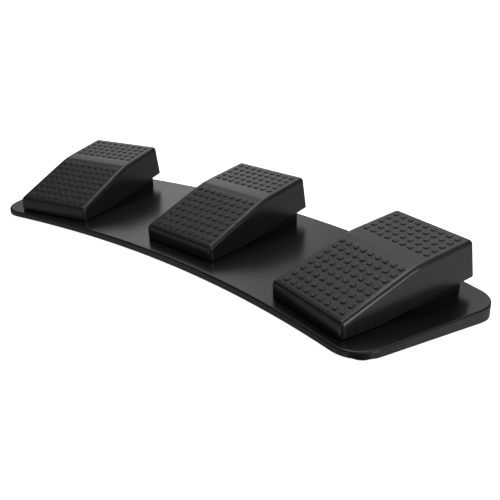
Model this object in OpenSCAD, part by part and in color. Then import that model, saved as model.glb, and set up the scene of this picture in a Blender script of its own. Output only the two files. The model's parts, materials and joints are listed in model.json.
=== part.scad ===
// Three-treadle foot switch: hinged pedals fanned out on a low wedge deck.
// Millimetres, +Z up. The origin is under the middle of the deck, on the floor.
// Each pedal has its own frame on the deck top: x across, y from heel to toe, z up.

/* [Deck] */
// Half the width of the deck, halfway along its end edges
deck_half_w = 192.6; // [188:0.1:198]
// Depth of the deck on its middle line
deck_depth = 119.2; // [116:0.1:126]
// Radius of the hollow front edge
front_arc_r = 626; // [580:1:680]
// Radius of the bowed rear edge
rear_arc_r = 567; // [520:1:620]
// Lean of the end edges in degrees
end_lean = 15.8; // [12:0.1:18]
// Corner radius in plan
corner_r = 18.8; // [14:0.1:24]
// Height of the deck body at the middle of its front edge
deck_front_t = 4.9; // [4.2:0.1:6]
// Slope of the deck top in degrees
deck_slope = 2.98; // [2.8:0.02:4]
// Wall of the moulded deck
deck_wall = 2.2; // [1.8:0.1:2.4]
// Rounding of the top edge of the deck
deck_edge_r = 1.2; // [0.6:0.1:1.5]

/* [Underside] */
// Thickness of the steel bottom plate
plate_t = 1.2; // [0.8:0.1:1.4]
// Height of the rubber feet
foot_h = 2; // [1.8:0.1:4]
// Diameter of the rubber feet
foot_d = 16; // [10:0.5:20]
// Diameter of the cord inlet through its grommet
inlet_d = 3.6; // [3:0.1:3.8]
// Wall of the grommet around the inlet
grommet_wall = 1.2; // [1:0.1:1.3]

/* [Pedal row] */
// Deck in front of the middle pedal
front_margin = 12.9; // [11:0.1:15]
// Sideways distance from the middle pedal to an outer one
pedal_pitch = 122.8; // [119:0.1:125]
// How far the outer pedals stand forward of the middle one
pedal_drop = 17.8; // [15:0.1:20]
// Turn of the outer pedals in degrees
fan_angle = 14.41; // [12:0.01:16]

/* [Pedal cap] */
// Width of the cap at its foot
cap_w = 64.3; // [62:0.1:70]
// Length of the cap along its top
cap_len = 98; // [95:0.1:100]
// Height of the front edge above the deck
cap_front_h = 9.7; // [8.6:0.1:10.4]
// Distance from the front wall to the crease between the two top faces
cap_crease_y = 54.8; // [53:0.1:58]
// Height of that crease above the deck
cap_crease_h = 28.1; // [27:0.1:30]
// Height of the rear edge above the deck
cap_rear_h = 33.1; // [31.5:0.1:36]
// How far the rear wall stands out at its foot
cap_rear_lean = 3.5; // [2:0.1:4.5]
// Clear height under the front wall
cap_front_gap = 0.8; // [0.6:0.1:1.4]
// How far the foot of the side walls runs level before it rises to the rear
cap_heel_y = 28; // [26:0.1:32]
// Clear height under the rear wall
cap_rear_gap = 9.6; // [9.2:0.1:11]
// Draw taper of one side wall over the height of the cap
cap_draft = 0.8; // [0.3:0.1:1.2]
// Rounding of the cap edges
cap_edge_r = 3; // [1.5:0.1:3.4]
// Radius that softens the crease
crease_r = 60; // [20:1:90]
// Wall of the cap
cap_wall = 2.2; // [1.8:0.1:2.4]

/* [Tread] */
// Spacing of the tread studs
stud_pitch = 6.22; // [5.8:0.01:6.4]
// Diameter of a stud at its foot
stud_d = 4; // [3:0.1:4.4]
// Height of a stud
stud_h = 0.6; // [0.4:0.1:1]
// Studs in a row
stud_columns = 9; // [5:1:9]
// Rows on the front face
front_rows = 8; // [4:1:8]
// Rows on the rear face
rear_rows = 5; // [3:1:5]
// From the front edge to the first row
front_row_edge = 7; // [5:0.1:8]
// From the rear edge to the last row
rear_row_edge = 6.6; // [4.4:0.1:7]

/* [Mechanism] */
// Full travel of a pedal in degrees
press_angle = 6; // [4:0.1:6.5]
// Hinge line behind the front wall
hinge_y = 26; // [24:0.1:28]
// Hinge line above the deck
hinge_z = 6; // [5.8:0.1:6.4]
// Diameter of the hinge pin
pin_d = 3; // [2.4:0.1:3.2]
// Running clearance of the hinge pin, on the radius
pin_play = 0.05; // [0.02:0.01:0.1]
// Outer diameter of the return spring
spring_d = 12; // [10:0.5:14]
// Wire of the return spring
spring_wire = 1.4; // [1:0.1:1.6]
// Coils of the return spring
spring_turns = 5; // [4:1:6]
// Length of the return spring at rest
spring_len = 16; // [14.5:0.5:17]
// Travel of the switch plunger
plunger_travel = 2.4; // [2.3:0.1:2.8]
// Lead from each switch, outer diameter
lead_d = 2; // [1.4:0.1:2.2]

/* [Hidden] */
$fn = 48;
SIDES = ["left", "middle", "right"];

black = "#1d1d1f";
rubber = "#141414";
steel = "#b9bcc0";

// Clearances
fit = 0.15;
seat_gap = 0.3;
screw_play = 0.25;
embed = 0.6;
far = 60;

// Plan of the deck, with its own origin at the middle of the front edge
front_centre = [0, -front_arc_r];
rear_centre = [0, deck_depth - rear_arc_r];
end_dir = [sin(end_lean), cos(end_lean)];
end_out = [cos(end_lean), -sin(end_lean)];
end_mid = [deck_half_w, deck_depth / 2];
arc_steps = 14;
corner_steps = 8;

// Where a corner circle touches the end edge from inside and the circle c of radius r
function corner_centre(c, r) =
    let (q = end_mid - corner_r * end_out,
         along = (q - c) * end_dir,
         off = (q - c) * (q - c) - r * r)
    q + (sqrt(along * along - off) - along) * end_dir;
front_corner = corner_centre(front_centre, front_arc_r + corner_r);
rear_corner = corner_centre(rear_centre, rear_arc_r - corner_r);
function bearing(from, to) = atan2(to[1] - from[1], to[0] - from[0]);
front_bearing = bearing(front_centre, front_corner);
rear_bearing = bearing(rear_centre, rear_corner);

// Points of an arc, from the first to the last step
function arc(c, r, a0, a1, steps, first, last) =
    [for (i = [first:last]) let (a = a0 + (a1 - a0) * i / steps) c + r * [cos(a), sin(a)]];
function right_edge(inset) = concat(
    arc(front_centre, front_arc_r + inset, 90, front_bearing, arc_steps, 0, arc_steps),
    arc(front_corner, corner_r - inset, front_bearing - 180, -end_lean, corner_steps, 1, corner_steps),
    arc(rear_corner, corner_r - inset, -end_lean, rear_bearing, corner_steps, 0, corner_steps - 1),
    arc(rear_centre, rear_arc_r - inset, rear_bearing, 90, arc_steps, 0, arc_steps));
function outline(inset) =
    let (edge = right_edge(inset), n = len(edge))
    concat(edge, [for (i = [n - 2:-1:1]) [-edge[i][0], edge[i][1]]]);

// The outline cut into convex pieces, as lists of point numbers
edge_n = 2 * (arc_steps + 1) + 2 * corner_steps;
ring_n = 2 * edge_n - 2;
function mirrored(i) = (ring_n - i) % ring_n;
half_pieces = concat(
    [for (i = [0:arc_steps - 1]) [i, i + 1, edge_n - 2 - i, edge_n - 1 - i]],
    [[for (i = [arc_steps:edge_n - 1 - arc_steps]) i]]);
outline_pieces = concat(half_pieces,
    [for (f = half_pieces) [for (k = [len(f) - 1:-1:0]) mirrored(f[k])]]);

// Heights of the deck
function under_z(y) = -(deck_front_t + y * sin(deck_slope)) / cos(deck_slope);
deck_z = foot_h + deck_front_t;

// Cord inlet in the rear wall
grommet_d = inlet_d + 2 * grommet_wall;
flange_d = grommet_d + 2;
flange_t = 1;
inlet_z = -deck_wall - flange_d / 2 + 0.1;
inlet_y = deck_depth + fit + flange_t;

// Middle of the whole depth, so that the origin lies under the centre of the box
front_reach = (front_corner[1] - corner_r) * cos(deck_slope) + deck_edge_r * sin(deck_slope);
rear_reach = inlet_y * cos(deck_slope) - (inlet_z - flange_d / 2) * sin(deck_slope);
mid_y = (front_reach + rear_reach) / 2;

// Places of the pedals on the deck
pedal_x = [-pedal_pitch, 0, pedal_pitch];
pedal_y = [front_margin - pedal_drop, front_margin, front_margin - pedal_drop];
pedal_turn = [fan_angle, 0, -fan_angle];
function on_deck(i, x, y) = [pedal_x[i] + x * cos(pedal_turn[i]) - y * sin(pedal_turn[i]),
                             pedal_y[i] + x * sin(pedal_turn[i]) + y * cos(pedal_turn[i])];

// Side view of the cap
front_slope = atan((cap_crease_h - cap_front_h) / cap_crease_y);
rear_slope = atan((cap_rear_h - cap_crease_h) / (cap_len - cap_crease_y));
rear_lean = atan(cap_rear_lean / (cap_rear_h - cap_rear_gap));
foot_slope = atan((cap_rear_gap - cap_front_gap) / (cap_len + cap_rear_lean - cap_heel_y));
function front_z(y) = cap_front_h + y * tan(front_slope);
function rear_z(y) = cap_crease_h + (y - cap_crease_y) * tan(rear_slope);
function cap_top(y) = y < cap_crease_y ? front_z(y) : rear_z(y);
function wall_y(z) = cap_len + (cap_rear_h - z) * tan(rear_lean);
function half_w(z) = cap_w / 2 - cap_draft * z / cap_rear_h;
cap_inner_half = cap_w / 2 - cap_draft - cap_wall;

// Corner of the rear and top faces, set in by d from both
function rear_top(d) =
    let (b = tan(rear_slope), k = tan(rear_lean),
         a = cap_crease_h - cap_crease_y * b - d / cos(rear_slope),
         y = (cap_len - d / cos(rear_lean) - (a - cap_rear_h) * k) / (1 + b * k))
    [y, a + b * y];
function front_top(d) = [d, front_z(d) - d / cos(front_slope)];
crease_mid = (front_slope + rear_slope) / 2;
crease_centre = [cap_crease_y, cap_crease_h]
    + crease_r / cos((front_slope - rear_slope) / 2) * [sin(crease_mid), -cos(crease_mid)];
function crease(d) = [for (a = [front_slope, crease_mid, rear_slope])
    crease_centre + (crease_r - d) * [-sin(a), cos(a)]];

// Where a point of the cap is at full travel, and the rest height that ends at height z
function pressed_y(y, z) =
    hinge_y + (y - hinge_y) * cos(press_angle) + (z - hinge_z) * sin(press_angle);
function rest_z(y, z) =
    hinge_z + (z - hinge_z + (y - hinge_y) * sin(press_angle)) / cos(press_angle);

// Housing
housing_wall = 2.2;
housing_floor = 1.8;
housing_half = cap_inner_half - 1;
housing_front = cap_wall + 1.2;
housing_rear = cap_len - 4.3;
housing_front_h = hinge_z - 1.5;
housing_side_h = hinge_z + 4;
housing_rear_h = cap_rear_gap + 6;
lug_t = 4;
lug_x = housing_half - housing_wall - 0.4 - lug_t / 2;
lug_r = pin_d / 2 + 2.1;

// Bay between the hinge and the stop, shared out to the switch, the lead hole and the spring
stop_d = 10;
stop_clear = 1.8;
stop_y = housing_rear - housing_wall - stop_clear - stop_d / 2;
bay = stop_y - hinge_y;
switch_share = 0.345;
lead_share = 0.138;
spring_share = 0.655;

// Switch, seen from the front: width, depth and height of its body
switch_w = 20;
switch_depth = 6.4;
switch_h = 10;
switch_y = hinge_y + switch_share * bay;
switch_z = housing_floor + 3.4;
switch_top = switch_z + switch_h;
switch_hole_x = 4.75;
switch_hole_z = switch_z + 2.9;
switch_screw_d = 2.2;
switch_tab_t = 2.2;
terminal_t = 0.6;
plunger_d = 3;
plunger_top = switch_top + plunger_travel + 0.5;
actuator_w = 10;
actuator_depth = 6;

// Spring, stop and hooks
spring_y = hinge_y + spring_share * bay;
spring_seat_d = spring_d + 2;
spring_guide_d = spring_d - 2 * spring_wire - 4;
spring_top = housing_floor + spring_len;
stop_pad_t = 3;
stop_post_h = 4;
stop_top = housing_floor + stop_post_h + stop_pad_t;
hook_x = 14;
hook_w = 6;
hook_t = 2.5;
hook_h = 2.8;
ledge_t = 2.4;
ledge_d = 2.6;
ledge_z = housing_rear_h - ledge_t;
hook_y = housing_rear - housing_wall - ledge_d - 0.4
    - (pressed_y(housing_rear, rest_z(housing_rear, housing_rear_h)) - housing_rear);
hook_reach = 3.4;

// Screws: shank and head
board_w = 44;
screw_d = 2.9;
head_d = 5.4;
head_h = 1.4;
boss_d = 7;
function both(spots) = [for (s = [-1, 1]) for (p = spots) [s * p[0], p[1]]];
side_margin = 8.2;
screw_back = 14;
stop_margin = 10;
housing_screw_spots = both([[housing_half - side_margin, hinge_y + screw_back],
                            [housing_half / 2, stop_y - stop_margin]]);
// Plate screws: beside the board, behind the outer pedals, between the pedals and at the ends
end_margin = 17.3;
rear_margin = 10.4;
corner_margin = 26.4;
board_margin = 12;
toe_inset = 10.8;
plate_screw_spots = both([
    [board_w / 2 + board_margin, deck_depth - rear_margin],
    [pedal_pitch - toe_inset, deck_depth - corner_margin],
    [pedal_pitch * 0.546, deck_depth * 0.507],
    [deck_half_w - end_margin, deck_depth * 0.409]]);
// Feet: at the front corners, along the front, along the rear and at the ends
foot_margin = 2;
foot_inset = 30.3;
foot_spots = both([
    [deck_half_w - foot_inset, front_corner[1] - corner_r + deck_wall + foot_d / 2 + foot_margin],
    [pedal_pitch / 2, deck_wall + foot_d / 2 + foot_margin],
    [pedal_pitch / 2, deck_depth - deck_wall - foot_d / 2 - 4 * foot_margin],
    [deck_half_w - end_margin, deck_depth * 0.621]]);

// Controller board, hung under the deck behind the middle pedal
board_depth = 22;
board_t = 1.6;
board_gap = 7.4;
board_mid = [0, deck_depth - board_gap - board_depth / 2];
board_drop = 3;
board_z = -deck_wall - board_drop - board_t;
board_screw_d = 2;
board_screw_x = board_w / 2 - 4;
board_screw_y = 6;
board_boss_d = 5;
header_h = 2.4;
header_size = [7, 5];
chip_size = [9, 7, 1.6];
// Headers for the left, middle and right leads, from the middle of the board
header_spots = [[-board_w / 2 + 3.5, -board_depth / 2 + 3], [0, -board_depth / 2 + 3],
                [board_w / 2 - 3.5, -board_depth / 2 + 3]];

// Leads run under the deck skin from a hole behind each switch
lead_hole_y = switch_y + lead_share * bay;
lead_hole_d = lead_d + 1.6;
lead_z = -deck_wall - 0.7 - lead_d / 2;
lead_exit_z = housing_floor + seat_gap + lead_d / 2;
lead_bend = 2.4;
lead_bend_steps = 4;
lead_sides = 8;

// Frames
module deck_frame() {
    translate([0, -mid_y, deck_z]) rotate([deck_slope, 0, 0]) children();
}

module pedal_frame(side) {
    i = search([side], SIDES)[0];
    deck_frame() translate([pedal_x[i], pedal_y[i], 0]) rotate([0, 0, pedal_turn[i]]) children();
}

// A spot of the deck plan on the floor
module floor_spots(spots) {
    for (p = spots) translate([p[0], p[1] * cos(deck_slope) - mid_y, 0]) children();
}

// A side view in y and z, extruded across x about the middle
module across(width) {
    rotate([90, 0, 90]) linear_extrude(height = width, center = true) children();
}

// A closed skin over rings of equally many points; pieces cuts the end faces into convex ones
module loft(rings, pieces) {
    n = len(rings[0]);
    last = len(rings) - 1;
    foot = is_undef(pieces) ? [[for (j = [0:n - 1]) j]] : pieces;
    head = [for (f = foot) [for (k = [len(f) - 1:-1:0]) last * n + f[k]]];
    points = [for (ring = rings) each ring];
    sides = [for (k = [0:last - 1]) for (j = [0:n - 1])
        let (a = k * n + j, b = k * n + (j + 1) % n)
        each [[a, b + n, b], [a, a + n, b + n]]];
    polyhedron(points = points, faces = concat(foot, head, sides));
}

// A pan-head screw pointing up, with the underside of its head at z = 0
module screw(shank, d = screw_d, head = head_d, head_height = head_h) {
    cylinder(h = shank, d = d);
    difference() {
        translate([0, 0, -head_height]) cylinder(h = head_height, d1 = head * 0.8, d2 = head);
        translate([0, 0, -head_height - 0.1]) cylinder(h = 0.8, d = d * 0.8, $fn = 6);
    }
}

// Deck
module deck_skin() {
    fillet_steps = 4;
    wall_foot = [for (p = outline(0)) [p[0], p[1], under_z(p[1])]];
    edge = [for (i = [0:fillet_steps]) let (a = 90 * i / fillet_steps)
        [for (p = outline(deck_edge_r * (1 - cos(a)))) [p[0], p[1], -deck_edge_r * (1 - sin(a))]]];
    loft(concat([wall_foot], edge), outline_pieces);
}

module deck_well(inset, top) {
    translate([0, 0, top - far]) linear_extrude(height = far) polygon(outline(inset));
}

// The space between two floor heights, as wide as the deck
module floor_slab(low, high) {
    translate([-deck_half_w * 2, -deck_depth * 2, low])
        cube([deck_half_w * 4, deck_depth * 4, high - low]);
}

module plate_bosses() {
    intersection() {
        floor_spots(plate_screw_spots)
            translate([0, 0, foot_h + plate_t]) cylinder(h = far, d = boss_d);
        deck_frame() deck_well(deck_wall / 2, -deck_wall + embed);
    }
}

module board_bosses() {
    for (x = [-1, 1])
        translate([board_mid[0] + x * board_screw_x, board_mid[1] + board_screw_y,
                   -deck_wall - board_drop])
            cylinder(h = board_drop + embed, d = board_boss_d);
}

module deck_cover() color(black) difference() {
    union() {
        difference() {
            deck_frame() deck_skin();
            deck_frame() deck_well(deck_wall, -deck_wall);
            intersection() {
                deck_frame() deck_well(deck_wall, 0);
                floor_slab(-foot_h, foot_h + plate_t + fit);
            }
        }
        plate_bosses();
        deck_frame() board_bosses();
    }
    floor_spots(plate_screw_spots) cylinder(h = foot_h + plate_t + 4, d = screw_d + fit);
    deck_frame() {
        for (x = [-1, 1])
            translate([board_mid[0] + x * board_screw_x, board_mid[1] + board_screw_y, board_z])
                cylinder(h = board_drop + board_t + 1.2, d = board_screw_d + fit);
        translate([0, deck_depth - 2 * deck_wall, inlet_z])
            rotate([-90, 0, 0]) cylinder(h = far, d = grommet_d + fit);
    }
    for (side = SIDES) pedal_frame(side) {
        for (p = housing_screw_spots) translate([p[0], p[1], -far / 2])
            cylinder(h = far, d = screw_d + 2 * screw_play);
        translate([0, lead_hole_y, -far / 2]) cylinder(h = far, d = lead_hole_d);
    }
}

module bottom_plate() color(steel) difference() {
    intersection() {
        deck_frame() deck_well(deck_wall + fit, 0);
        floor_slab(foot_h, foot_h + plate_t);
    }
    floor_spots(plate_screw_spots) cylinder(h = far, d = screw_d + 2 * screw_play);
}

module rubber_feet() color(rubber) floor_spots(foot_spots)
    rotate_extrude() polygon([[0, 0], [foot_d / 2 - 1, 0], [foot_d / 2, foot_h], [0, foot_h]]);

module plate_screws() color(steel) floor_spots(plate_screw_spots)
    translate([0, 0, foot_h]) screw(plate_t + 3);

module inlet_grommet() color(rubber) deck_frame()
    translate([0, inlet_y, inlet_z]) rotate([90, 0, 0]) difference() {
        union() {
            cylinder(h = flange_t, d = flange_d);
            cylinder(h = 2 * flange_t + deck_wall + 2 * fit, d = grommet_d);
            translate([0, 0, flange_t + deck_wall + 2 * fit]) cylinder(h = flange_t, d = flange_d - 1);
        }
        translate([0, 0, -1]) cylinder(h = far, d = inlet_d);
    }

// Controller
module on_board(z) {
    deck_frame() translate([board_mid[0], board_mid[1], z]) children();
}

module controller_board() color("#1f5a34") on_board(board_z) difference() {
    translate([-board_w / 2, -board_depth / 2, 0]) cube([board_w, board_depth, board_t]);
    for (x = [-1, 1]) translate([x * board_screw_x, board_screw_y, -1])
        cylinder(h = board_t + 2, d = board_screw_d + 2 * screw_play);
}

module controller_chip() color("#18181a") on_board(board_z + board_t)
    translate([-chip_size[0] / 2, 0, 0]) cube(chip_size);

module lead_headers() color("#e8e4d8") on_board(board_z + board_t)
    for (p = header_spots) translate([p[0] - header_size[0] / 2, p[1] - header_size[1] / 2, 0])
        difference() {
            cube([header_size[0], header_size[1], header_h]);
            translate([1, -1, header_h - 1]) cube([header_size[0] - 2, header_size[1], 2]);
        }

module board_screws() color(steel) on_board(board_z)
    for (x = [-1, 1]) translate([x * board_screw_x, board_screw_y, 0])
        screw(board_t + board_drop + 0.6, board_screw_d, 3.8, 1.1);

// Pedal cap
module cap_block() {
    low = -cap_edge_r - 3;
    spots = concat([front_top(cap_edge_r)], crease(cap_edge_r), [rear_top(cap_edge_r)]);
    feet = [cap_edge_r, wall_y(low) - cap_edge_r / cos(rear_lean)];
    difference() {
        hull() for (s = [-1, 1]) {
            for (p = spots) translate([s * (half_w(p[1]) - cap_edge_r), p[0], p[1]])
                sphere(r = cap_edge_r, $fn = 24);
            for (y = feet) translate([s * (half_w(low) - cap_edge_r), y, low])
                cylinder(r = cap_edge_r, h = 1, $fn = 24);
        }
        across(2 * cap_w) polygon([
            [-far, -far], [2 * cap_len, -far],
            [2 * cap_len, cap_front_gap + (2 * cap_len - cap_heel_y) * tan(foot_slope)],
            [cap_heel_y, cap_front_gap], [-far, cap_front_gap]]);
    }
}

module cap_hollow() {
    crown = [for (p = crease(cap_wall)) p];
    across(2 * cap_inner_half) polygon(concat(
        [[cap_wall, -far], front_top(cap_wall)], crown,
        [rear_top(cap_wall), [wall_y(-far) - cap_wall / cos(rear_lean), -far]]));
}

// A stud is a low disc with a drawn wall and a rounded rim
stud_flare = stud_d * 0.05 / (stud_h * 0.65);
module studs(rows, slope) {
    for (r = [0:rows - 1]) for (c = [0:stud_columns - 1])
        translate([(c - (stud_columns - 1) / 2) * stud_pitch, r * stud_pitch * cos(slope),
                   r * stud_pitch * sin(slope)])
            rotate([slope, 0, 0]) rotate_extrude($fn = 16) polygon([
                [0, -embed], [stud_d / 2 + embed * stud_flare, -embed],
                [stud_d * 0.45, stud_h * 0.65], [stud_d * 0.36, stud_h], [0, stud_h]]);
}

module tread() {
    run = front_row_edge * cos(front_slope);
    back = cap_len - (rear_row_edge + (rear_rows - 1) * stud_pitch) * cos(rear_slope);
    translate([0, run, front_z(run)]) studs(front_rows, front_slope);
    translate([0, back, rear_z(back)]) studs(rear_rows, rear_slope);
}

// Ears that turn on the hinge pin
module hinge_lugs() {
    for (s = [-1, 1]) translate([s * lug_x, 0, 0]) across(lug_t) {
        translate([hinge_y, hinge_z]) circle(r = lug_r);
        polygon([[hinge_y - lug_r, hinge_z], [hinge_y + lug_r, hinge_z],
                 [hinge_y + lug_r, cap_top(hinge_y + lug_r) - cap_wall / 2],
                 [hinge_y - lug_r, cap_top(hinge_y - lug_r) - cap_wall / 2]]);
    }
}

// Rib over the switch, seat over the spring and boss over the stop
module cap_bosses() {
    actuator_z = plunger_top + seat_gap;
    across(actuator_w) polygon([
        [switch_y - actuator_depth / 2, actuator_z], [switch_y + actuator_depth / 2, actuator_z],
        [switch_y + actuator_depth / 2, cap_top(switch_y + actuator_depth / 2) - cap_wall / 2],
        [switch_y - actuator_depth / 2, cap_top(switch_y - actuator_depth / 2) - cap_wall / 2]]);
    translate([0, spring_y, spring_top + fit])
        cylinder(h = cap_top(spring_y - spring_seat_d / 2) - spring_top - cap_wall / 2, d = spring_seat_d);
    translate([0, spring_y, spring_top - 3]) cylinder(h = 4, d = spring_guide_d);
    stop_z = rest_z(stop_y + stop_d / 2, stop_top + seat_gap);
    translate([0, stop_y, stop_z])
        cylinder(h = cap_top(stop_y - stop_d / 2) - stop_z - cap_wall / 2, d = stop_d);
}

// Hooks that hold the cap down on the ledge of its housing
module hooks() {
    top = cap_top(hook_y - hook_t) - cap_wall / 2;
    barb = ledge_z - seat_gap;
    for (s = [-1, 1]) translate([s * hook_x, 0, 0]) across(hook_w)
        polygon([[hook_y - hook_t, barb - hook_h], [hook_y + hook_reach - 1.6, barb - hook_h],
                 [hook_y + hook_reach, barb - hook_h + 1.6], [hook_y + hook_reach, barb],
                 [hook_y, barb], [hook_y, top], [hook_y - hook_t, top]]);
}

module pedal_cap() color(black) difference() {
    union() {
        difference() {
            cap_block();
            cap_hollow();
        }
        tread();
        hinge_lugs();
        cap_bosses();
        hooks();
    }
    translate([0, hinge_y, hinge_z]) rotate([0, 90, 0])
        cylinder(h = 2 * lug_x + 2 * lug_t, d = pin_d + 2 * pin_play, center = true);
}

// Pedal housing
module housing_tub() {
    inner_half = housing_half - housing_wall;
    difference() {
        across(2 * housing_half) polygon([
            [housing_front, 0], [housing_rear, 0], [housing_rear, housing_rear_h],
            [hinge_y + 10, housing_side_h + 0.5], [hinge_y - 8, housing_side_h - 0.5],
            [housing_front, housing_front_h]]);
        translate([-inner_half, housing_front + housing_wall, housing_floor])
            cube([2 * inner_half, housing_rear - housing_front - 2 * housing_wall, far]);
    }
}

// Upright that carries the switch, with two pillars under it
module switch_tab() {
    foot = housing_floor - embed;
    translate([-switch_w / 2, switch_y - switch_depth / 2 - switch_tab_t, foot])
        cube([switch_w, switch_tab_t, switch_top - 1.5 - foot]);
    for (s = [-1, 1]) translate([s * (switch_w / 2 - 1.5) - 1.5, switch_y - switch_depth / 2, foot])
        cube([3, switch_depth, switch_z - foot]);
}

module pedal_housing() color("#161617") difference() {
    union() {
        housing_tub();
        switch_tab();
        for (p = housing_screw_spots) translate([p[0], p[1], housing_floor - embed])
            cylinder(h = 6 + embed, d = boss_d);
        translate([0, stop_y, housing_floor - embed]) cylinder(h = stop_post_h + embed, d = stop_d);
        translate([0, spring_y, housing_floor - embed]) cylinder(h = 3 + embed, d = spring_guide_d);
        for (s = [-1, 1])
            translate([s * hook_x - hook_w / 2 - 1, housing_rear - housing_wall - ledge_d, ledge_z])
                cube([hook_w + 2, ledge_d + housing_wall / 2, ledge_t]);
    }
    translate([0, hinge_y, hinge_z]) rotate([0, 90, 0])
        cylinder(h = 4 * housing_half, d = pin_d + 2 * pin_play, center = true);
    for (p = housing_screw_spots) translate([p[0], p[1], -1])
        cylinder(h = housing_floor + 6.2, d = screw_d + fit);
    translate([0, lead_hole_y, -1]) cylinder(h = housing_floor + 2, d = lead_hole_d);
    for (s = [-1, 1]) translate([s * switch_hole_x, switch_y, switch_hole_z]) rotate([90, 0, 0])
        cylinder(h = switch_depth + 2 * switch_tab_t, d = switch_screw_d + fit);
}

// Small parts of a pedal
module hinge_pin() color(steel) translate([0, hinge_y, hinge_z]) rotate([0, 90, 0])
    cylinder(h = 2 * housing_half - 1, d = pin_d, center = true);

// Return spring: one tube along a helix, squared to the axis at both ends
spring_rings = 8 * spring_turns;
spring_sides = 6;
spring_mid_r = (spring_d - spring_wire) / 2;
spring_rise = spring_len - spring_wire - 2 * fit;
function coil_point(k) = let (a = 360 * k / 8)
    [spring_mid_r * cos(a), spring_mid_r * sin(a),
     fit + spring_wire / 2 + spring_rise * k / spring_rings];
function coil_ring(k) = let (a = 360 * k / 8, c = coil_point(k)) [for (j = [0:spring_sides - 1])
    let (b = -360 * j / spring_sides)
    c + spring_wire / 2 * [cos(b) * cos(a), cos(b) * sin(a), sin(b)]];
spring_gap = min([for (k = [0:spring_rings - 8]) norm(coil_point(k + 8) - coil_point(k))]) - spring_wire;
echo(str("least gap between the coils of the return spring: ", spring_gap, " mm"));

module return_spring() color(steel) translate([0, spring_y, housing_floor])
    loft([for (k = [0:spring_rings]) coil_ring(k)]);

module switch_body() color("#26262a") difference() {
    union() {
        translate([-switch_w / 2, switch_y - switch_depth / 2, switch_z])
            cube([switch_w, switch_depth, switch_h]);
        for (x = [-4.5, 0, 4.5]) translate([x - 1.6, switch_y - terminal_t / 2, switch_z - 3])
            cube([3.2, terminal_t, 3 + embed]);
    }
    for (s = [-1, 1]) translate([s * switch_hole_x, switch_y, switch_hole_z]) rotate([90, 0, 0])
        cylinder(h = 2 * switch_depth, d = switch_screw_d + 2 * fit, center = true);
    translate([0, switch_y, switch_top - plunger_travel - 1.5])
        cylinder(h = far, d = plunger_d + 2 * fit);
}

module switch_plunger() color("#b3261e") translate([0, switch_y, switch_top - 1]) {
    cylinder(h = plunger_top - switch_top - plunger_d / 2 + 1, d = plunger_d);
    translate([0, 0, plunger_top - switch_top - plunger_d / 2 + 1]) sphere(d = plunger_d);
}

module switch_screws() color(steel) for (s = [-1, 1])
    translate([s * switch_hole_x, switch_y + switch_depth / 2, switch_hole_z]) rotate([90, 0, 0])
        screw(switch_depth + switch_tab_t - 0.2, switch_screw_d, 4, 1.2);

module stop_pad() color(rubber) translate([0, stop_y, housing_floor + stop_post_h])
    cylinder(h = stop_pad_t, d1 = stop_d, d2 = stop_d - 2);

module housing_screws() color(steel) for (p = housing_screw_spots)
    translate([p[0], p[1], -deck_wall]) screw(deck_wall + housing_floor + 5);

// Lead from the switch terminals through the floor and under the deck to its header
function unit(v) = v / norm(v);
// The path with each bend eased over a short curve
function eased(path) = concat([path[0]],
    [for (k = [1:len(path) - 2])
        let (from = path[k] + lead_bend * unit(path[k - 1] - path[k]),
             to = path[k] + lead_bend * unit(path[k + 1] - path[k]))
        for (t = [0:1 / lead_bend_steps:1])
            (1 - t) * (1 - t) * from + 2 * t * (1 - t) * path[k] + t * t * to],
    [path[len(path) - 1]]);
function tube_rings(line, r, ref) = [for (k = [0:len(line) - 1])
    let (along = unit(line[min(k + 1, len(line) - 1)] - line[max(k - 1, 0)]),
         side = unit(cross(along, ref)),
         up = cross(along, side))
    [for (j = [0:lead_sides - 1]) let (b = 360 * j / lead_sides)
        line[k] + r * (cos(b) * side + sin(b) * up)]];

module switch_lead(side) {
    i = search([side], SIDES)[0];
    start = on_deck(i, 0, switch_y + terminal_t / 2);
    hole = on_deck(i, 0, lead_hole_y);
    end = board_mid + header_spots[i] - [0, header_size[1] / 2];
    turn = end - [0, 2 * lead_bend];
    path = [[start[0], start[1], lead_exit_z], [hole[0], hole[1], lead_exit_z],
            [hole[0], hole[1], lead_z], [turn[0], turn[1], lead_z], [end[0], end[1], lead_z]];
    across_pedal = [cos(pedal_turn[i]), sin(pedal_turn[i]), 0];
    color("#2b2b2e") deck_frame() loft(tube_rings(eased(path), lead_d / 2, across_pedal));
}

deck_cover();
bottom_plate();
rubber_feet();
plate_screws();
inlet_grommet();
controller_board();
controller_chip();
lead_headers();
board_screws();
for (side = SIDES) {
    pedal_frame(side) pedal_cap();
    pedal_frame(side) pedal_housing();
    pedal_frame(side) hinge_pin();
    pedal_frame(side) return_spring();
    pedal_frame(side) switch_body();
    pedal_frame(side) switch_plunger();
    pedal_frame(side) switch_screws();
    pedal_frame(side) stop_pad();
    pedal_frame(side) housing_screws();
    switch_lead(side);
}
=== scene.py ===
"""A foot switch with three hinged treadles on a low wedge deck, dressed for a studio picture.

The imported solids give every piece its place. The deck, treadles, housings, feet and grommet are
shown as smooth copies of their solids, the return springs are wound afresh, and every piece gets a
finish made of shader nodes.
"""

from __future__ import annotations

import json
import logging
import math
from dataclasses import dataclass, field
from enum import Enum
from typing import Any, Optional, Union

import bmesh
import bpy
from mathutils import Matrix, Quaternion, Vector

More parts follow.
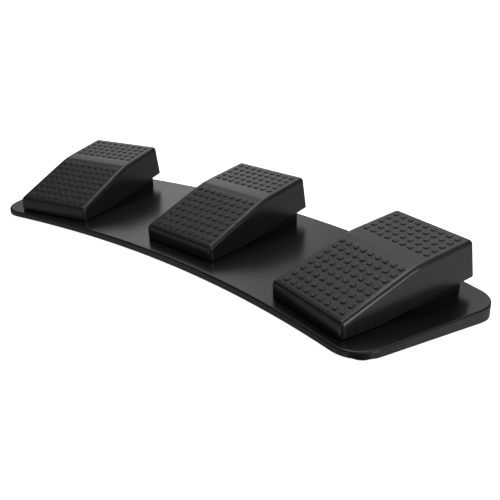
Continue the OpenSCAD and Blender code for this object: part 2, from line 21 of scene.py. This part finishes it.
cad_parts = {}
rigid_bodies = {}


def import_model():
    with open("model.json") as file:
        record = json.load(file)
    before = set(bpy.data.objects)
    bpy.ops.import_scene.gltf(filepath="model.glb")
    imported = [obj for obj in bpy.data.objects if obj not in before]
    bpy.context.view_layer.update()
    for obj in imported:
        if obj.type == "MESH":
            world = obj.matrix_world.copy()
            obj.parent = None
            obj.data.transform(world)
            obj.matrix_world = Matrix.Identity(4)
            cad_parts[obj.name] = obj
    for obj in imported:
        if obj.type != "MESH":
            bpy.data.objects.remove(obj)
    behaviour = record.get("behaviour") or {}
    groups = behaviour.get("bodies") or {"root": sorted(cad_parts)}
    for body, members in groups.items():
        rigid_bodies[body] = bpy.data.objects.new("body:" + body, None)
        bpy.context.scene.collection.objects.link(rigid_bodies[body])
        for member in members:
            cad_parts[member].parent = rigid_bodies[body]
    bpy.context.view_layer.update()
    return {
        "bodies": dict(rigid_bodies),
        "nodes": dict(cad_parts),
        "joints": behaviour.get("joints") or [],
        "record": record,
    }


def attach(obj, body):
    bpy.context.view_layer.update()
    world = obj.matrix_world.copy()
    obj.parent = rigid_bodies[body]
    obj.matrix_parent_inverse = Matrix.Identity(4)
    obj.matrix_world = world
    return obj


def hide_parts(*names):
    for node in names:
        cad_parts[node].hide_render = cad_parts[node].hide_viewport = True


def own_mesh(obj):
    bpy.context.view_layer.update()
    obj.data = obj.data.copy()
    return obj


LOG = logging.getLogger("foot_switch")
MM = 0.001
MERGE_DISTANCE = 1e-6
SHARP_ANGLE = math.radians(28)
FLAT_FACE_WEIGHT = 100
PLASTIC_IOR = 1.5

Colour = tuple[float, float, float]
Operand = Union["Value", float]


class Side(Enum):
    """The three places in the pedal row."""

    LEFT = "left"
    MIDDLE = "middle"
    RIGHT = "right"


class Value:
    """A shader socket that takes part in Python arithmetic."""

    def __init__(self, shader: "Shader", socket: bpy.types.NodeSocket) -> None:
        """Wrap one output socket.

        Args:
            shader: The material that the socket belongs to.
            socket: The output socket.
        """
        self.shader = shader
        self.socket = socket

    def _math(self, operation: str, first: Operand, second: Operand) -> "Value":
        """Add one Math node.

        Args:
            operation: The Math node's operation.
            first: Its first value.
            second: Its second value.

        Returns:
            The node's result.
        """
        node = self.shader.node("ShaderNodeMath", {"operation": operation}, {0: first, 1: second})
        return Value(self.shader, node.outputs[0])

    def __add__(self, other: Operand) -> "Value":
        """Sum with another value."""
        return self._math("ADD", self, other)

    def __radd__(self, other: Operand) -> "Value":
        """Sum with a number on the left."""
        return self._math("ADD", other, self)

    def __sub__(self, other: Operand) -> "Value":
        """Difference from another value."""
        return self._math("SUBTRACT", self, other)

    def __rsub__(self, other: Operand) -> "Value":
        """Difference from a number on the left."""
        return self._math("SUBTRACT", other, self)

    def __mul__(self, other: Operand) -> "Value":
        """Product with another value."""
        return self._math("MULTIPLY", self, other)

    def __rmul__(self, other: Operand) -> "Value":
        """Product with a number on the left."""
        return self._math("MULTIPLY", other, self)

    def exponential(self) -> "Value":
        """Give e to the power of the value."""
        return self._math("EXPONENT", self, 0.0)

    def ramp(self, low: float, high: float) -> "Value":
        """Ease from 0 at low to 1 at high.

        Args:
            low: The value that gives 0.
            high: The value that gives 1.

        Returns:
            The eased value.
        """
        node = self.shader.node("ShaderNodeMapRange",
                                {"interpolation_type": "SMOOTHSTEP", "clamp": True},
                                {"Value": self, "From Min": low, "From Max": high})
        return Value(self.shader, node.outputs[0])


class Shader:
    """A material under construction."""

    def __init__(self, name: str) -> None:
        """Start a material with an empty principled surface.

        Args:
            name: The material's name.
        """
        self.material = bpy.data.materials.new(name)
        self.material.use_nodes = True
        self.tree = self.material.node_tree
        self.surface = self.tree.nodes["Principled BSDF"]

    def node(self, kind: str, settings: Optional[dict[str, Any]] = None,
             inputs: Optional[dict[Union[str, int], Any]] = None) -> bpy.types.Node:
        """Add a node.

        Args:
            kind: The node's type.
            settings: Its properties, set before its sockets.
            inputs: Values or links for its input sockets.

        Returns:
            The new node.
        """
        made = self.tree.nodes.new(kind)
        for key, setting in (settings or {}).items():
            setattr(made, key, setting)
        for key, given in (inputs or {}).items():
            self.feed(made.inputs[key], given)
        return made

    def feed(self, socket: bpy.types.NodeSocket, given: Any) -> None:
        """Link a value to a socket, or set the socket's own number."""
        if isinstance(given, Value):
            self.tree.links.new(given.socket, socket)
        elif isinstance(given, bpy.types.NodeSocket):
            self.tree.links.new(given, socket)
        else:
            socket.default_value = given

    def place(self, frame: Optional[Matrix] = None) -> bpy.types.NodeSocket:
        """Give the point on the piece, in the row frame or in a frame of its own.

        Args:
            frame: The place and turn of the other frame.

        Returns:
            The vector socket.
        """
        coordinates = self.node("ShaderNodeTexCoord").outputs["Object"]
        if frame is None:
            return coordinates
        mapping = self.node("ShaderNodeMapping", {"vector_type": "TEXTURE"},
                            {"Vector": coordinates, "Location": frame.to_translation(),
                             "Rotation": frame.to_euler("XYZ")})
        return mapping.outputs[0]

    def axes(self, vector: bpy.types.NodeSocket) -> tuple[Value, Value, Value]:
        """Split a vector into its three numbers."""
        split = self.node("ShaderNodeSeparateXYZ", None, {"Vector": vector})
        return tuple(Value(self, output) for output in split.outputs)

    def noise(self, scale: float, detail: float,
              vector: Optional[bpy.types.NodeSocket] = None,
              stretch: Optional[Vector] = None) -> Value:
        """Add a noise pattern.

        Args:
            scale: Features per metre.
            detail: Octaves of finer noise.
            vector: The point that it reads, or the row frame's.
            stretch: Scale along each axis, where it isn't even.

        Returns:
            The noise, from 0 to 1.
        """
        point = vector or self.place()
        if stretch is not None:
            mapping = self.node("ShaderNodeMapping", None, {"Vector": point, "Scale": stretch})
            point = mapping.outputs[0]
        made = self.node("ShaderNodeTexNoise", None,
                         {"Vector": point, "Scale": scale, "Detail": detail})
        return Value(self, made.outputs["Fac"])

    def tint(self, factor: Operand, low: Colour, high: Colour) -> bpy.types.NodeSocket:
        """Mix two colours.

        Args:
            factor: 0 for the first colour and 1 for the second.
            low: The first colour.
            high: The second colour.

        Returns:
            The mixed colour.
        """
        mix = self.node("ShaderNodeMix", {"data_type": "RGBA"},
                        {0: factor, 6: (*low, 1.0), 7: (*high, 1.0)})
        return mix.outputs[2]

    def bump(self, height: Value, strength: float, distance: float) -> bpy.types.NodeSocket:
        """Turn a height pattern into a normal.

        Args:
            height: The pattern.
            strength: How much of it shows.
            distance: Its depth in metres.

        Returns:
            The normal.
        """
        made = self.node("ShaderNodeBump", None,
                         {"Height": height, "Strength": strength, "Distance": distance})
        return made.outputs["Normal"]

    def set(self, **sockets: Any) -> None:
        """Feed the surface's sockets, with underscores for spaces."""
        for name, given in sockets.items():
            self.feed(self.surface.inputs[name.replace("_", " ")], given)

    def finish(self, **sockets: Any) -> bpy.types.Material:
        """Feed the surface's sockets and give the material."""
        self.set(**sockets)
        return self.material


def shade(colour: Colour, factor: float) -> Colour:
    """Give a lighter or darker colour."""
    return tuple(min(1.0, channel * factor) for channel in colour)


@dataclass(frozen=True)
class MouldedPlastic:
    """Plain moulded plastic, from gloss to matte."""

    colour: Colour
    roughness: float
    grain_size: float = 0.4 * MM
    grain_depth: float = 0.01 * MM
    grain_strength: float = 0.1
    cloud: float = 0.05
    ior: float = PLASTIC_IOR
    cloud_scale: float = 28.0
    grain_gloss: float = 0.06

    def make(self, name: str) -> bpy.types.Material:
        """Build the material.

        Args:
            name: The material's name.

        Returns:
            The material.
        """
        shader = Shader(name)
        cloud = shader.noise(self.cloud_scale, 3.0)
        grain = shader.noise(1.0 / self.grain_size, 3.0)
        uneven = (cloud - 0.5) * (2.0 * self.cloud) + (grain - 0.5) * self.grain_gloss
        return shader.finish(
            Base_Color=shader.tint(cloud, shade(self.colour, 0.85), shade(self.colour, 1.15)),
            Roughness=uneven + self.roughness,
            IOR=self.ior,
            Normal=shader.bump(grain, self.grain_strength, self.grain_depth))


@dataclass(frozen=True)
class TreadPlastic:
    """Cap plastic: eroded grain on the front tread, satin on the crease, the edges and the walls.

    The heights and rises describe the two tread planes in the pedal's frame, so that the grain stays
    on them and leaves the walls alone.
    """

    frame: Matrix
    colour: Colour = (0.016, 0.0158, 0.0163)
    satin: float = 0.22
    rear: float = 0.36
    front: float = 0.38
    front_height: float = 9.7 * MM
    front_rise: float = 18.4 / 54.8
    grain_end: float = 50.0 * MM
    rear_height: float = 21.758 * MM
    rear_rise: float = 5.0 / 43.2
    rear_start: float = 63.5 * MM
    rear_end: float = 95.0 * MM
    half_width: float = 28.6 * MM
    grain_size: float = 0.9 * MM
    fine_size: float = 0.18 * MM
    cloud_scale: float = 30.0
    bump_strength: float = 0.55
    bump_depth: float = 0.12 * MM
    plain: float = 0.54

    def make(self, name: str) -> bpy.types.Material:
        """Build the material.

        Args:
            name: The material's name.

        Returns:
            The material.
        """
        shader = Shader(name)
        point = shader.place(self.frame)
        across, along, up = shader.axes(point)
        before_crease = 1.0 - along.ramp(self.grain_end - 3.0 * MM, self.grain_end + 2.0 * MM)
        behind_crease = along.ramp(self.rear_start - 2.0 * MM, self.rear_start + 2.0 * MM)
        inside = (across * across).ramp(self.half_width ** 2, (self.half_width - 1.2 * MM) ** 2)
        front_drop = up - along * self.front_rise - self.front_height
        rear_drop = up - along * self.rear_rise - self.rear_height
        tread = (front_drop.ramp(-1.6 * MM, -0.6 * MM) * before_crease
                 * along.ramp(2.2 * MM, 3.4 * MM) * inside)
        pad = (rear_drop.ramp(-1.6 * MM, -0.6 * MM) * behind_crease * inside
               * (1.0 - along.ramp(self.rear_end - 1.2 * MM, self.rear_end)))
        grain = shader.noise(1.0 / self.grain_size, 4.0, point)
        fine = shader.noise(1.0 / self.fine_size, 2.0, point)
        cloud = shader.noise(self.cloud_scale, 3.0, point)
        speckle = grain.ramp(0.38, 0.62)
        # Painted highlight: the tops of the tread's studs are coloured paler than the ground between
        # them, as if lit from above.
        stud_top_highlight = front_drop.ramp(0.15 * MM, 0.45 * MM)
        height = (grain * (tread * 2.4 + pad * 0.3 + 0.04)
                  + fine * (tread * 0.1 + pad * 0.06 + 0.02))
        rough = (self.satin + tread * (self.front - self.satin) + pad * (self.rear - self.satin)
                 + (cloud - 0.5) * 0.05 + (speckle - 0.5) * tread * 0.2)
        # Painted light and shade: on the tread the speckle makes the colour paler and darker in spots,
        # standing in for the lit and shaded facets of the eroded grain. Together with the stud-top
        # highlight, this sets the tread's colour; off the tread the colour is the plain tone.
        tone_and_painted_light = (1.0 - tread) * self.plain + tread * (speckle * 0.6 + stud_top_highlight * 0.3)
        return shader.finish(
            Base_Color=shader.tint(tone_and_painted_light, shade(self.colour, 0.2), shade(self.colour, 1.5)),
            Roughness=rough,
            IOR=PLASTIC_IOR,
            Normal=shader.bump(height, self.bump_strength, self.bump_depth))


@dataclass(frozen=True)
class Rubber:
    """Dull black rubber."""

    colour: Colour = (0.014, 0.014, 0.014)
    dust_scale: float = 900.0

    def make(self, name: str) -> bpy.types.Material:
        """Build the material.

        Args:
            name: The material's name.

        Returns:
            The material.
        """
        shader = Shader(name)
        dust = shader.noise(self.dust_scale, 4.0)
        return shader.finish(
            Base_Color=shader.tint(dust, self.colour, shade(self.colour, 2.2)),
            Roughness=dust * 0.18 + 0.68,
            IOR=PLASTIC_IOR,
            Normal=shader.bump(dust, 0.3, 0.06 * MM))


@dataclass(frozen=True)
class PlatedSteel:
    """Zinc-plated or bright steel with fine drawing lines along one axis."""

    colour: Colour = (0.56, 0.57, 0.58)
    roughness: float = 0.34
    stretch: Optional[tuple[float, float, float]] = (0.04, 1.0, 1.0)
    line_scale: float = 2600.0
    spangle_scale: float = 160.0

    def make(self, name: str) -> bpy.types.Material:
        """Build the material.

        Args:
            name: The material's name.

        Returns:
            The material.
        """
        shader = Shader(name)
        stretch = None if self.stretch is None else Vector(self.stretch)
        lines = shader.noise(self.line_scale, 3.0, None, stretch)
        spangle = shader.noise(self.spangle_scale, 2.0)
        return shader.finish(
            Base_Color=shader.tint(spangle, shade(self.colour, 0.82), shade(self.colour, 1.08)),
            Metallic=1.0,
            Roughness=lines * 0.16 + spangle * 0.1 + (self.roughness - 0.13),
            Normal=shader.bump(lines, 0.12, 0.02 * MM))


@dataclass(frozen=True)
class BoardLaminate:
    """Solder mask over copper tracks."""

    mask: Colour = (0.008, 0.07, 0.025)
    track: Colour = (0.014, 0.13, 0.045)
    cell_scale: float = 160.0
    track_width: float = 0.08

    def make(self, name: str) -> bpy.types.Material:
        """Build the material.

        Args:
            name: The material's name.

        Returns:
            The material.
        """
        shader = Shader(name)
        cells = shader.node("ShaderNodeTexBrick", {"offset": 0.5},
                            {"Vector": shader.place(), "Scale": self.cell_scale,
                             "Mortar Size": self.track_width, "Color1": (0, 0, 0, 1),
                             "Color2": (0, 0, 0, 1), "Mortar": (1, 1, 1, 1)})
        tracks = Value(shader, cells.outputs["Fac"])
        return shader.finish(
            Base_Color=shader.tint(tracks, self.mask, self.track),
            Roughness=tracks * 0.1 + 0.28,
            IOR=PLASTIC_IOR,
            Normal=shader.bump(tracks, 0.4, 0.035 * MM))


def smooth_copy(node: bpy.types.Object, name: str) -> bpy.types.Object:
    """Copy a solid as a smooth-shaded piece with flat faces kept flat.

    Args:
        node: The solid's object.
        name: The new piece's name.

    Returns:
        The new piece.
    """
    shell = bmesh.new()
    shell.from_mesh(node.data)
    bmesh.ops.remove_doubles(shell, verts=shell.verts, dist=MERGE_DISTANCE)
    for face in shell.faces:
        face.smooth = True
    for edge in shell.edges:
        edge.smooth = len(edge.link_faces) == 2 and edge.calc_face_angle(0.0) < SHARP_ANGLE
    return piece_of(shell, name, True)


def piece_of(shell: bmesh.types.BMesh, name: str, weighted: bool = False) -> bpy.types.Object:
    """Make an object of a finished bmesh.

    Args:
        shell: The bmesh, which is freed.
        name: The object's name.
        weighted: Whether large faces lead the shading.

    Returns:
        The object, linked to the scene.
    """
    mesh = bpy.data.meshes.new(name)
    shell.to_mesh(mesh)
    shell.free()
    piece = bpy.data.objects.new(name, mesh)
    bpy.context.scene.collection.objects.link(piece)
    if weighted:
        modifier = piece.modifiers.new("flat_faces", "WEIGHTED_NORMAL")
        modifier.keep_sharp = True
        modifier.weight = FLAT_FACE_WEIGHT
    return piece


def dress(piece: bpy.types.Object, material: bpy.types.Material) -> None:
    """Give a piece one material all over."""
    piece.data.materials.clear()
    piece.data.materials.append(material)
    for polygon in piece.data.polygons:
        polygon.material_index = 0


@dataclass(frozen=True)
class RowPlan:
    """Where the deck and the pedals lie."""

    slope: float = math.radians(2.98)
    rise: float = 6.9 * MM
    middle: float = 50.811 * MM
    margin: float = 12.9 * MM
    pitch: float = 122.8 * MM
    drop: float = 17.8 * MM
    fan: float = math.radians(14.41)

    def deck_frame(self) -> Matrix:
        """Give the frame of the deck's top face."""
        spot = Matrix.Translation((0.0, -self.middle, self.rise))
        return spot @ Matrix.Rotation(self.slope, 4, "X")

    def pedal_frame(self, side: Side) -> Matrix:
        """Give the frame of one pedal on the deck.

        Args:
            side: The pedal's place in the row.

        Returns:
            The frame, with x across, y from heel to toe and z up from the deck.
        """
        step = {Side.LEFT: -1, Side.MIDDLE: 0, Side.RIGHT: 1}[side]
        spot = Matrix.Translation((step * self.pitch, self.margin - abs(step) * self.drop, 0.0))
        return self.deck_frame() @ spot @ Matrix.Rotation(-step * self.fan, 4, "Z")


@dataclass
class ReturnSpring:
    """A coil spring under one cap."""

    side: Side
    frame: Matrix
    seat_y: float = 64.45 * MM
    seat_z: float = 1.95 * MM
    length: float = 15.7 * MM
    outer: float = 12.0 * MM
    wire: float = 1.4 * MM
    turns: int = 5
    steps: int = 24
    wire_sides: int = 12
    squeezed: float = 0.76

    def build(self) -> bpy.types.Object:
        """Wind the wire round the axis.

        Returns:
            The spring, in its place at rest.
        """
        coil = bmesh.new()
        start = Matrix.Translation(((self.outer - self.wire) / 2, 0.0, self.wire / 2))
        upright = start @ Matrix.Rotation(math.pi / 2, 4, "X")
        ring = bmesh.ops.create_circle(coil, cap_ends=False, segments=self.wire_sides,
                                       radius=self.wire / 2, matrix=upright)
        count = self.turns * self.steps
        climb = (self.length - self.wire) / count
        bmesh.ops.spin(coil, geom=ring["verts"] + list(coil.edges), cent=(0, 0, 0), axis=(0, 0, 1),
                       dvec=(0, 0, climb), angle=2 * math.pi * self.turns, steps=count, use_merge=False)
        ends = [edge for edge in coil.edges if edge.is_boundary]
        bmesh.ops.holes_fill(coil, edges=ends, sides=0)
        bmesh.ops.recalc_face_normals(coil, faces=coil.faces)
        for face in coil.faces:
            face.smooth = len(face.verts) == 4
        bmesh.ops.transform(coil, verts=coil.verts,
                            matrix=self.frame @ Matrix.Translation((0.0, self.seat_y, self.seat_z)))
        return piece_of(coil, f"{self.side.value}_coil_spring")

    def fit(self, steel: bpy.types.Material) -> None:
        """Dress the spring and set it on the base in place of the imported one.

        Args:
            steel: The wire's material.
        """
        spring = self.build()
        dress(spring, steel)
        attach(spring, "base")
        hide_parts(f"{self.side.value}_return_spring")
        up = self.frame.to_3x3() @ Vector((0, 0, 1))
        foot = self.frame @ Vector((0.0, self.seat_y, self.seat_z))
        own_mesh(spring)
        LOG.info("%s: %d faces", spring.name, len(spring.data.polygons))


@dataclass
class Treadle:
    """One pedal: its cap, its housing and its spring."""

    side: Side
    plan: RowPlan
    nodes: dict[str, bpy.types.Object]

    def build(self, housing: bpy.types.Material, steel: bpy.types.Material) -> None:
        """Make and dress the pieces.

        Args:
            housing: The housing's material.
            steel: The spring's material.
        """
        name = self.side.value
        frame = self.plan.pedal_frame(self.side)
        cap = smooth_copy(self.nodes[f"{name}_pedal_cap"], f"{name}_tread_cap")
        dress(cap, TreadPlastic(frame).make(f"{name}_cap_plastic"))
        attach(cap, f"{name}_pedal")
        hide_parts(f"{name}_pedal_cap")
        tub = smooth_copy(self.nodes[f"{name}_pedal_housing"], f"{name}_housing_tub")
        dress(tub, housing)
        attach(tub, "base")
        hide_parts(f"{name}_pedal_housing")
        LOG.info("%s: %d faces", cap.name, len(cap.data.polygons))
        ReturnSpring(self.side, frame).fit(steel)


@dataclass
class Deck:
    """The wedge deck with its feet and inlet."""

    nodes: dict[str, bpy.types.Object]
    shell: MouldedPlastic = MouldedPlastic(
        (0.009, 0.0088, 0.0091), 0.24, grain_size=0.7 * MM, grain_depth=0.004 * MM,
        grain_strength=0.06, cloud=0.03, ior=1.46)

    def build(self, rubber: bpy.types.Material) -> None:
        """Make and dress the pieces.

        Args:
            rubber: The material of the feet and the grommet.
        """
        for node, name, material, slot in (
                ("deck_cover", "wedge_deck", self.shell.make("deck_plastic_gloss"),
                 "deck_plastic"),
                ("rubber_feet", "deck_feet", rubber, "black_rubber"),
                ("inlet_grommet", "cord_grommet", rubber, "black_rubber")):
            piece = smooth_copy(self.nodes[node], name)
            dress(piece, material)
            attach(piece, "base")
            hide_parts(node)
            LOG.info("%s: %d faces", piece.name, len(piece.data.polygons))


@dataclass
class Innards:
    """The solids that keep their own mesh and only take a finish."""

    nodes: dict[str, bpy.types.Object]
    record: dict[str, Any]

    def dress(self, finishes: dict[str, bpy.types.Material], shown: set[str]) -> None:
        """Dress every solid that no piece replaces.

        Args:
            finishes: A material for each slot of the record.
            shown: Slots that pieces already dress.
        """
        for part in self.record["subparts"]:
            node = self.nodes[part["node"]]
            material = finishes.get(part["material_slot"])
            if material is None:
                if part["material_slot"] not in shown:
                    raise ValueError(f"no finish for {part['material_slot']}")
                continue
            dress(node, material)
            LOG.info("%s: %s", node.name, material.name)


@dataclass(frozen=True)
class SoftLight:
    """One round soft light, placed by the direction in which the object sees it."""

    bearing: float
    elevation: float
    radiance: float
    spread: float

    def way(self) -> Vector:
        """Give the direction of its middle."""
        bearing, elevation = math.radians(self.bearing), math.radians(self.elevation)
        level = math.cos(elevation)
        return Vector((math.sin(bearing) * level, math.cos(bearing) * level, math.sin(elevation)))

    def narrowness(self) -> float:
        """Give how fast it fades, from the angle at which half of it is left."""
        return math.log(2.0) / (1.0 - math.cos(math.radians(self.spread)))


class Room(Shader):
    """The light from all round, built of shader nodes."""

    def __init__(self, name: str) -> None:
        """Start a dark room.

        Args:
            name: The room's name.
        """
        self.world = bpy.data.worlds.new(name)
        self.world.use_nodes = True
        self.tree = self.world.node_tree
        self.surface = self.tree.nodes["Background"]

    def lit(self, lights: tuple[SoftLight, ...], dim: float) -> bpy.types.World:
        """Light the room.

        Args:
            lights: The soft lights.
            dim: The light between them.

        Returns:
            The room as a world.
        """
        direction = self.node("ShaderNodeTexCoord").outputs["Generated"]
        total: Operand = dim
        for light in lights:
            turn = self.node("ShaderNodeVectorMath", {"operation": "DOT_PRODUCT"},
                             {0: direction, 1: light.way()})
            facing = Value(self, turn.outputs["Value"])
            lobe = ((facing - 1.0) * light.narrowness()).exponential()
            total = lobe * light.radiance + total
        self.set(Color=(1.0, 1.0, 1.0, 1.0), Strength=total)
        return self.world


@dataclass
class Studio:
    """Camera, floor and light of the picture."""

    eye: Vector = field(default_factory=lambda: Vector((0.33607, -0.33838, 0.18684)))
    aim: Vector = field(default_factory=lambda: Vector((0.03778, -0.00666, 0.00897)))
    roll: float = math.radians(0.938)
    lens: float = 51.116
    sensor: float = 36.0
    nearest: float = 0.01
    room: float = 0.06
    floor_glow: float = 0.97
    floor_tone: float = 0.9
    floor_sides: int = 96
    floor_radius: float = 9.0
    wall_height: float = 6.0
    lights: tuple[SoftLight, ...] = (
        SoftLight(-44.0, 18.0, 0.80, 7.5),
        SoftLight(-14.0, 37.0, 0.75, 10.0),
        SoftLight(-44.0, 58.0, 1.20, 8.5),
        SoftLight(103.0, 28.0, 0.63, 18.0),
        SoftLight(-56.0, 27.0, 1.00, 8.0),
        SoftLight(-30.0, 46.0, 0.57, 18.0),
        SoftLight(90.0, 10.0, 0.57, 18.0),
        SoftLight(90.0, -10.0, 0.53, 18.0),
        SoftLight(-135.0, -30.0, 0.40, 18.0),
        SoftLight(-50.0, 33.0, 0.26, 7.0),
        SoftLight(45.0, -30.0, 0.48, 18.0),
        SoftLight(-40.0, 62.0, 0.35, 18.0),
        SoftLight(66.0, -12.0, 0.35, 15.0),
        SoftLight(0.0, -10.0, 0.34, 18.0),
        SoftLight(-56.0, 67.0, 9.00, 4.5),
        SoftLight(86.0, 30.0, 9.00, 5.0),
        SoftLight(-118.0, 4.0, 2.20, 2.6),
        SoftLight(-135.0, 7.0, 2.20, 2.6),
        SoftLight(-152.0, 11.0, 2.40, 2.6),
        SoftLight(-174.0, -27.0, 0.90, 8.0),
        SoftLight(95.0, -24.0, 0.90, 8.0),
        SoftLight(60.0, 75.0, 0.45, 25.0),
        SoftLight(150.0, 25.0, 0.22, 28.0))

    def camera(self) -> None:
        """Stand the camera where the photograph was taken."""
        lens = bpy.data.cameras.new("picture_camera")
        lens.sensor_fit = "HORIZONTAL"
        lens.sensor_width = self.sensor
        lens.lens = self.lens
        lens.clip_start = self.nearest
        holder = bpy.data.objects.new("picture_camera", lens)
        bpy.context.scene.collection.objects.link(holder)
        holder.rotation_mode = "QUATERNION"
        look = (self.aim - self.eye).to_track_quat("-Z", "Y")
        holder.rotation_quaternion = look @ Quaternion((0, 0, 1), self.roll)
        holder.location = self.eye
        bpy.context.scene.camera = holder

    def floor(self) -> None:
        """Lay a pale floor with a round wall, seen by the camera and not by the gloss."""
        ground = bmesh.new()
        bmesh.ops.create_circle(ground, cap_ends=True, segments=self.floor_sides,
                                radius=self.floor_radius)
        rim = [edge for edge in ground.edges if edge.is_boundary]
        raised = bmesh.ops.extrude_edge_only(ground, edges=rim)["geom"]
        top = [item for item in raised if isinstance(item, bmesh.types.BMVert)]
        bmesh.ops.translate(ground, verts=top, vec=(0.0, 0.0, self.wall_height))
        bmesh.ops.recalc_face_normals(ground, faces=ground.faces)
        floor = piece_of(ground, "pale_floor")
        dress(floor, Shader("pale_floor").finish(
            Base_Color=(self.floor_tone, self.floor_tone, self.floor_tone, 1.0), Roughness=0.9,
            Emission_Color=(1.0, 1.0, 1.0, 1.0), Emission_Strength=self.floor_glow))
        floor.visible_diffuse = floor.visible_glossy = floor.visible_shadow = False

    def light(self) -> None:
        """Light the set from all round."""
        bpy.context.scene.world = Room("soft_studio").lit(self.lights, self.room)
        bpy.context.scene.view_settings.view_transform = "Standard"

    def build(self) -> None:
        """Set up the whole set."""
        self.camera()
        self.floor()
        self.light()


def main() -> None:
    """Build the pieces in order and report each one."""
    logging.basicConfig(level=logging.INFO, format="%(name)s: %(message)s")
    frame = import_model()
    nodes = frame["nodes"]
    plan = RowPlan()
    rubber = Rubber().make("black_rubber_dull")
    spring_steel = PlatedSteel((0.5, 0.5, 0.52), 0.28, (1.0, 1.0, 0.2)).make("spring_wire")
    finishes = {
        "black_rubber": rubber,
        "plate_steel": PlatedSteel().make("plate_zinc"),
        "screw_steel": PlatedSteel((0.62, 0.62, 0.63), 0.3, None).make("screw_zinc"),
        "pin_steel": PlatedSteel((0.64, 0.64, 0.65), 0.22).make("pin_ground"),
        "board_laminate": BoardLaminate().make("board_mask"),
        "chip_resin": MouldedPlastic((0.01, 0.01, 0.012), 0.5).make("chip_moulding"),
        "header_nylon": MouldedPlastic((0.78, 0.75, 0.66), 0.45).make("header_moulding"),
        "switch_resin": MouldedPlastic((0.02, 0.02, 0.024), 0.42).make("switch_moulding"),
        "plunger_plastic": MouldedPlastic((0.42, 0.02, 0.015), 0.3).make("plunger_moulding"),
        "lead_jacket": MouldedPlastic((0.02, 0.02, 0.022), 0.48).make("lead_moulding"),
    }
    Innards(nodes, frame["record"]).dress(
        finishes, {"deck_plastic", "cap_plastic", "housing_plastic", "spring_steel"})
    Deck(nodes).build(rubber)
    # The housing's colour is darker than the caps' plastic. Part of that is its own black, and part is
    # painted shade for the shadow that the cap's overhang casts on it.
    housing = MouldedPlastic(
        (0.005, 0.005, 0.0052), 0.5, grain_size=0.5 * MM, grain_depth=0.02 * MM,
        grain_strength=0.2, ior=1.35).make("housing_moulding")
    for side in Side:
        Treadle(side, plan, nodes).build(housing, spring_steel)
    Studio().build()


if __name__ == "__main__":
    main()
